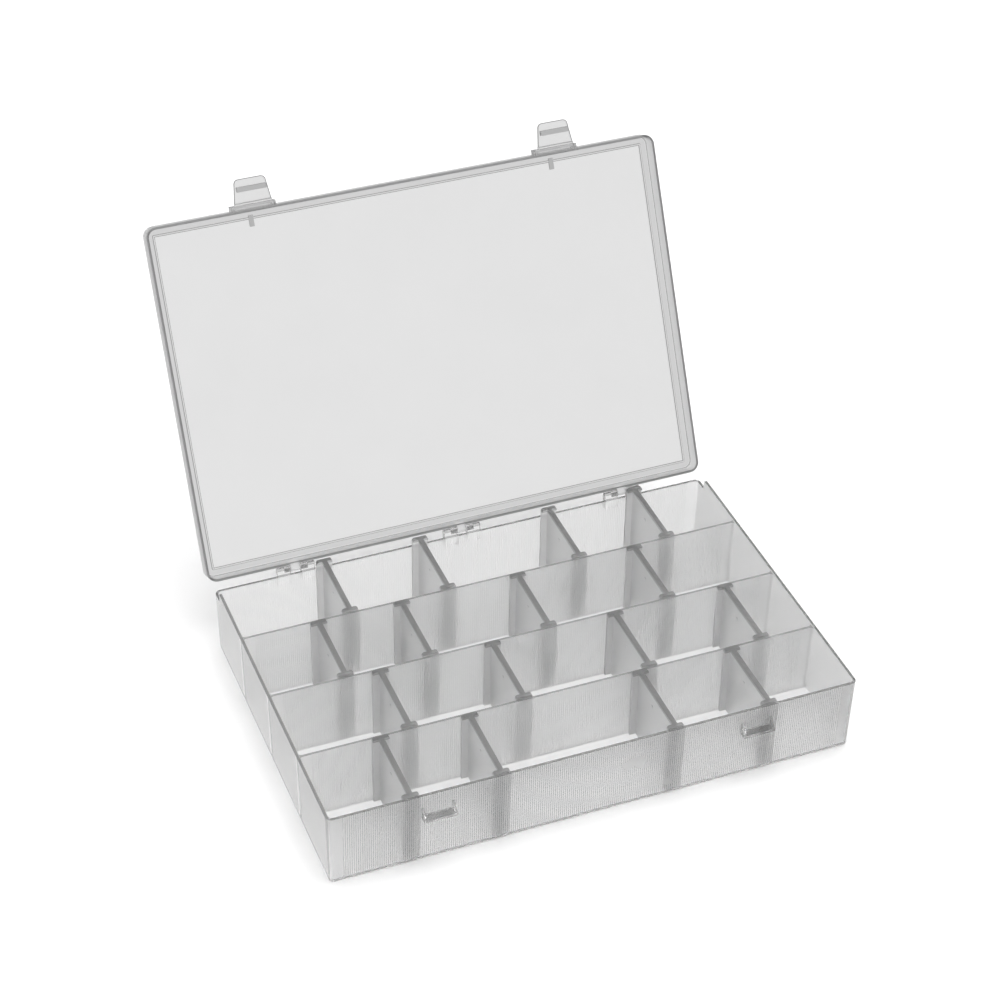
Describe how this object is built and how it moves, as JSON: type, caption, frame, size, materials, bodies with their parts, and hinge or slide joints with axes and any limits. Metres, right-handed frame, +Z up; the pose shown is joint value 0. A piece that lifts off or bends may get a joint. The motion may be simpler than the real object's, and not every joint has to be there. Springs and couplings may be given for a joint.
{
  "type": "compartment storage box",
  "caption": "Shallow frosted plastic storage box with serrated rows, loose dividers, a hinged lid and snap latch tabs.",
  "frame": {"origin": "centre of the tray's underside, on the surface the box stands on", "axes": "+Z up; +X along the box from the left latch to the right one; +Y from the latch side to the hinge side"},
  "size_m": [0.3334, 0.3377, 0.2646],
  "materials": {
    "body_plastic": "natural frosted translucent",
    "latch_plastic": "natural frosted translucent",
    "divider_plastic": "natural frosted translucent"
  },
  "bodies": {
    "tray": {"tray": "body_plastic"},
    "lid": {"lid": "body_plastic"},
    "latch_left": {"latch_left": "latch_plastic"},
    "latch_right": {"latch_right": "latch_plastic"},
    "divider_r1_1": {"divider_r1_1": "divider_plastic"},
    "divider_r1_2": {"divider_r1_2": "divider_plastic"},
    "divider_r1_3": {"divider_r1_3": "divider_plastic"},
    "divider_r1_4": {"divider_r1_4": "divider_plastic"},
    "divider_r2_1": {"divider_r2_1": "divider_plastic"},
    "divider_r2_2": {"divider_r2_2": "divider_plastic"},
    "divider_r2_3": {"divider_r2_3": "divider_plastic"},
    "divider_r2_4": {"divider_r2_4": "divider_plastic"},
    "divider_r3_1": {"divider_r3_1": "divider_plastic"},
    "divider_r3_2": {"divider_r3_2": "divider_plastic"},
    "divider_r3_3": {"divider_r3_3": "divider_plastic"},
    "divider_r3_4": {"divider_r3_4": "divider_plastic"},
    "divider_r4_1": {"divider_r4_1": "divider_plastic"},
    "divider_r4_2": {"divider_r4_2": "divider_plastic"},
    "divider_r4_3": {"divider_r4_3": "divider_plastic"},
    "divider_r4_4": {"divider_r4_4": "divider_plastic"}
  },
  "joints": [
    {"name": "lid_hinge", "type": "hinge", "parent": "tray", "child": "lid", "pos_m": [0, 0.1126, 0.0446], "axis": [-1, 0, 0], "range_deg": [-116.6, 0]},
    {"name": "latch_left_hinge", "type": "hinge", "parent": "lid", "child": "latch_left", "pos_m": [-0.099, 0.21201, 0.25093], "axis": [-1, 0, 0], "range_deg": [-90, 0], "stiffness_Nm_per_rad": 0.004},
    {"name": "latch_right_hinge", "type": "hinge", "parent": "lid", "child": "latch_right", "pos_m": [0.099, 0.21201, 0.25093], "axis": [-1, 0, 0], "range_deg": [-90, 0], "stiffness_Nm_per_rad": 0.004},
    {"name": "divider_r1_1_lift", "type": "slide", "parent": "tray", "child": "divider_r1_1", "axis": [0, 0, 1], "range_m": [0, 0.052]},
    {"name": "divider_r1_2_lift", "type": "slide", "parent": "tray", "child": "divider_r1_2", "axis": [0, 0, 1], "range_m": [0, 0.052]},
    {"name": "divider_r1_3_lift", "type": "slide", "parent": "tray", "child": "divider_r1_3", "axis": [0, 0, 1], "range_m": [0, 0.052]},
    {"name": "divider_r1_4_lift", "type": "slide", "parent": "tray", "child": "divider_r1_4", "axis": [0, 0, 1], "range_m": [0, 0.052]},
    {"name": "divider_r2_1_lift", "type": "slide", "parent": "tray", "child": "divider_r2_1", "axis": [0, 0, 1], "range_m": [0, 0.052]},
    {"name": "divider_r2_2_lift", "type": "slide", "parent": "tray", "child": "divider_r2_2", "axis": [0, 0, 1], "range_m": [0, 0.052]},
    {"name": "divider_r2_3_lift", "type": "slide", "parent": "tray", "child": "divider_r2_3", "axis": [0, 0, 1], "range_m": [0, 0.052]},
    {"name": "divider_r2_4_lift", "type": "slide", "parent": "tray", "child": "divider_r2_4", "axis": [0, 0, 1], "range_m": [0, 0.052]},
    {"name": "divider_r3_1_lift", "type": "slide", "parent": "tray", "child": "divider_r3_1", "axis": [0, 0, 1], "range_m": [0, 0.052]},
    {"name": "divider_r3_2_lift", "type": "slide", "parent": "tray", "child": "divider_r3_2", "axis": [0, 0, 1], "range_m": [0, 0.052]},
    {"name": "divider_r3_3_lift", "type": "slide", "parent": "tray", "child": "divider_r3_3", "axis": [0, 0, 1], "range_m": [0, 0.052]},
    {"name": "divider_r3_4_lift", "type": "slide", "parent": "tray", "child": "divider_r3_4", "axis": [0, 0, 1], "range_m": [0, 0.052]},
    {"name": "divider_r4_1_lift", "type": "slide", "parent": "tray", "child": "divider_r4_1", "axis": [0, 0, 1], "range_m": [0, 0.052]},
    {"name": "divider_r4_2_lift", "type": "slide", "parent": "tray", "child": "divider_r4_2", "axis": [0, 0, 1], "range_m": [0, 0.052]},
    {"name": "divider_r4_3_lift", "type": "slide", "parent": "tray", "child": "divider_r4_3", "axis": [0, 0, 1], "range_m": [0, 0.052]},
    {"name": "divider_r4_4_lift", "type": "slide", "parent": "tray", "child": "divider_r4_4", "axis": [0, 0, 1], "range_m": [0, 0.052]}
  ]
}
